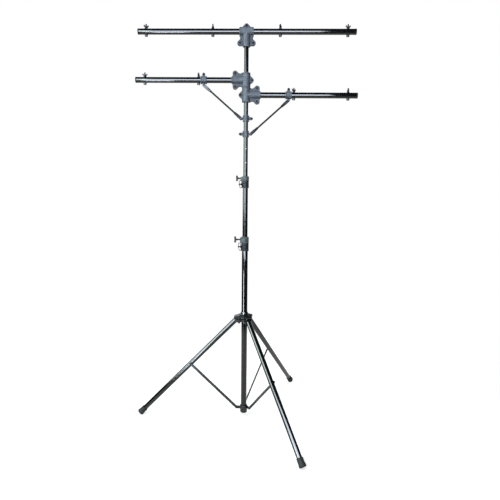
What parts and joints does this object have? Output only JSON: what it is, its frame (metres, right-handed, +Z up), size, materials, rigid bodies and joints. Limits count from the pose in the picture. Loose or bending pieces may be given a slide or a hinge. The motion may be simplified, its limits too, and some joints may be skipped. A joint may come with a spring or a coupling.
{
  "type": "lighting stand",
  "caption": "Telescopic tripod stand with a crossbar and two braced side bars that carry stage lights on bolts with wing nuts.",
  "frame": {"origin": "on the floor, on the mast's axis", "axes": "+Z up along the mast, +X along the crossbar to the right as seen from the front, -Y towards the front"},
  "size_m": [1.2802, 1.1362, 2.3018],
  "materials": {
    "black_paint": "gloss black powder coat",
    "cast_grey": "matte blue-grey cast",
    "clamp_head_grey": "satin grey cast",
    "clamp_sleeve_grey": "satin dark grey cast",
    "black_plastic": "matte",
    "foot_rubber": "matte",
    "bolt_steel": "darkened steel"
  },
  "bodies": {
    "lower_section": {"lower_mast_tube": "black_paint", "base_collar": "black_paint", "lower_clamp_head": "clamp_head_grey", "lower_clamp_sleeve": "clamp_sleeve_grey"},
    "hub": {"tripod_hub": "black_paint"},
    "hub_handle": {"hub_lock_handle": "black_plastic"},
    "lower_handle": {"lower_lock_handle": "black_plastic"},
    "lower_pin": {"lower_pull_pin": "bolt_steel"},
    "lower_ring": {"lower_pin_ring": "bolt_steel"},
    "middle_plug": {"middle_guide_plug": "black_plastic"},
    "middle_section": {"middle_mast_tube": "black_paint", "upper_clamp_head": "clamp_head_grey", "upper_clamp_sleeve": "clamp_sleeve_grey"},
    "upper_handle": {"upper_lock_handle": "black_plastic"},
    "upper_pin": {"upper_pull_pin": "bolt_steel"},
    "upper_ring": {"upper_pin_ring": "bolt_steel"},
    "upper_plug": {"upper_guide_plug": "black_plastic"},
    "upper_section": {"upper_mast_tube": "black_paint", "top_bar": "black_paint", "left_bar": "black_paint", "right_bar": "black_paint", "top_bar_cap_left": "black_plastic", "top_bar_cap_right": "black_plastic", "left_bar_cap": "black_plastic", "right_bar_cap": "black_plastic", "arm_brace_left": "black_paint", "arm_brace_right": "black_paint", "top_casting_front": "cast_grey", "top_casting_back": "cast_grey", "left_casting_front": "cast_grey", "left_casting_back": "cast_grey", "right_casting_front": "cast_grey", "right_casting_back": "cast_grey", "left_bar_clamp_front": "cast_grey", "left_bar_clamp_back": "cast_grey", "left_mast_clamp_front": "cast_grey", "left_mast_clamp_back": "cast_grey", "right_bar_clamp_front": "cast_grey", "right_bar_clamp_back": "cast_grey", "right_mast_clamp_front": "cast_grey", "right_mast_clamp_back": "cast_grey"},
    "brace_left": {"tripod_brace_left": "black_paint"},
    "leg_left": {"leg_left": "black_paint", "foot_left": "foot_rubber"},
    "brace_front": {"tripod_brace_front": "black_paint"},
    "leg_front": {"leg_front": "black_paint", "foot_front": "foot_rubber"},
    "brace_back": {"tripod_brace_back": "black_paint"},
    "leg_back": {"leg_back": "black_paint", "foot_back": "foot_rubber"},
    "wing_nut_top_1": {"wing_nut_top_1": "bolt_steel"},
    "wing_nut_top_2": {"wing_nut_top_2": "bolt_steel"},
    "wing_nut_top_3": {"wing_nut_top_3": "bolt_steel"},
    "wing_nut_top_4": {"wing_nut_top_4": "bolt_steel"},
    "wing_nut_left_1": {"wing_nut_left_1": "bolt_steel"},
    "wing_nut_left_2": {"wing_nut_left_2": "bolt_steel"},
    "wing_nut_right_1": {"wing_nut_right_1": "bolt_steel"},
    "wing_nut_right_2": {"wing_nut_right_2": "bolt_steel"}
  },
  "joints": [
    {"name": "tripod_fold", "type": "hinge", "parent": "lower_section", "child": "brace_left", "pos_m": [-0.042, -0.0177, 0.0655], "axis": [0, 1, 0], "range_deg": [0, 42.4]},
    {"name": "leg_fold_left", "type": "hinge", "parent": "brace_left", "child": "leg_left", "pos_m": [-0.32144, 0, 0.33598], "axis": [0, -1, 0], "range_deg": [0, 84.8]},
    {"name": "brace_fold_front", "type": "hinge", "parent": "lower_section", "child": "brace_front", "pos_m": [0.03633, -0.02752, 0.0655], "axis": [-0.866, -0.5, 0], "range_deg": [0, 42.4]},
    {"name": "leg_fold_front", "type": "hinge", "parent": "brace_front", "child": "leg_front", "pos_m": [0.16072, -0.27837, 0.33598], "axis": [0.866, 0.5, 0], "range_deg": [0, 84.8]},
    {"name": "brace_fold_back", "type": "hinge", "parent": "lower_section", "child": "brace_back", "pos_m": [0.00567, 0.04522, 0.0655], "axis": [0.866, -0.5, 0], "range_deg": [0, 42.4]},
    {"name": "leg_fold_back", "type": "hinge", "parent": "brace_back", "child": "leg_back", "pos_m": [0.16072, 0.27837, 0.33598], "axis": [-0.866, 0.5, 0], "range_deg": [0, 84.8]},
    {"name": "hub_lift", "type": "hinge", "parent": "leg_left", "child": "hub", "pos_m": [-0.042, 0, 0.60645], "axis": [0, 1, 0], "range_deg": [0, 42.4]},
    {"name": "hub_lock_turn", "type": "hinge", "parent": "hub", "child": "hub_handle", "pos_m": [0, 0, 0.62039], "axis": [-0.5, -0.866, 0], "range_deg": [0, 360]},
    {"name": "middle_slide", "type": "slide", "parent": "lower_section", "child": "middle_plug", "axis": [0, 0, 1], "range_m": [-0.27, 0.4]},
    {"name": "middle_swivel", "type": "hinge", "parent": "middle_plug", "child": "middle_section", "pos_m": [0, 0, 0.5], "axis": [0, 0, 1], "continuous": true},
    {"name": "upper_slide", "type": "slide", "parent": "middle_section", "child": "upper_plug", "axis": [0, 0, 1], "range_m": [-0.21, 0.4]},
    {"name": "upper_swivel", "type": "hinge", "parent": "upper_plug", "child": "upper_section", "pos_m": [0, 0, 0.8], "axis": [0, 0, 1], "continuous": true},
    {"name": "lower_lock_turn", "type": "hinge", "parent": "lower_section", "child": "lower_handle", "pos_m": [0, 0, 1.09508], "axis": [-1, 0, 0], "range_deg": [0, 360]},
    {"name": "lower_pin_pull", "type": "slide", "parent": "lower_section", "child": "lower_pin", "axis": [-1, 0, 0], "range_m": [0, 0.006], "stiffness_N_per_m": 400, "springref_m": -0.004},
    {"name": "lower_ring_swing", "type": "hinge", "parent": "lower_pin", "child": "lower_ring", "pos_m": [-0.0369, 0, 1.05244], "axis": [0.1045, 0, -0.9945], "range_deg": [0, 70]},
    {"name": "upper_lock_turn", "type": "hinge", "parent": "middle_section", "child": "upper_handle", "pos_m": [0, 0, 1.45063], "axis": [-1, 0, 0], "range_deg": [0, 360]},
    {"name": "upper_pin_pull", "type": "slide", "parent": "middle_section", "child": "upper_pin", "axis": [-1, 0, 0], "range_m": [0, 0.006], "stiffness_N_per_m": 400, "springref_m": -0.004},
    {"name": "upper_ring_swing", "type": "hinge", "parent": "upper_pin", "child": "upper_ring", "pos_m": [-0.0345, 0, 1.41654], "axis": [0.1045, 0, -0.9945], "range_deg": [0, 34]},
    {"name": "wing_nut_turn_top_1", "type": "hinge", "parent": "upper_section", "child": "wing_nut_top_1", "pos_m": [-0.562, 0, 2.2753], "axis": [0, 0, 1], "continuous": true},
    {"name": "wing_nut_turn_top_2", "type": "hinge", "parent": "upper_section", "child": "wing_nut_top_2", "pos_m": [-0.188, 0, 2.2753], "axis": [0, 0, 1], "continuous": true},
    {"name": "wing_nut_turn_top_3", "type": "hinge", "parent": "upper_section", "child": "wing_nut_top_3", "pos_m": [0.188, 0, 2.2753], "axis": [0, 0, 1], "continuous": true},
    {"name": "wing_nut_turn_top_4", "type": "hinge", "parent": "upper_section", "child": "wing_nut_top_4", "pos_m": [0.562, 0, 2.2753], "axis": [0, 0, 1], "continuous": true},
    {"name": "wing_nut_turn_left_1", "type": "hinge", "parent": "upper_section", "child": "wing_nut_left_1", "pos_m": [-0.574, 0, 2.0143], "axis": [0, 0, 1], "continuous": true},
    {"name": "wing_nut_turn_left_2", "type": "hinge", "parent": "upper_section", "child": "wing_nut_left_2", "pos_m": [-0.269, 0, 2.0143], "axis": [0, 0, 1], "continuous": true},
    {"name": "wing_nut_turn_right_1", "type": "hinge", "parent": "upper_section", "child": "wing_nut_right_1", "pos_m": [0.574, 0, 1.9333], "axis": [0, 0, 1], "continuous": true},
    {"name": "wing_nut_turn_right_2", "type": "hinge", "parent": "upper_section", "child": "wing_nut_right_2", "pos_m": [0.269, 0, 1.9333], "axis": [0, 0, 1], "continuous": true}
  ],
  "couplings": [
    {"joint": "leg_fold_left", "follows": "tripod_fold", "ratio": 2},
    {"joint": "brace_fold_front", "follows": "tripod_fold", "ratio": 1},
    {"joint": "leg_fold_front", "follows": "tripod_fold", "ratio": 2},
    {"joint": "brace_fold_back", "follows": "tripod_fold", "ratio": 1},
    {"joint": "leg_fold_back", "follows": "tripod_fold", "ratio": 2},
    {"joint": "hub_lift", "follows": "tripod_fold", "ratio": 1}
  ]
}
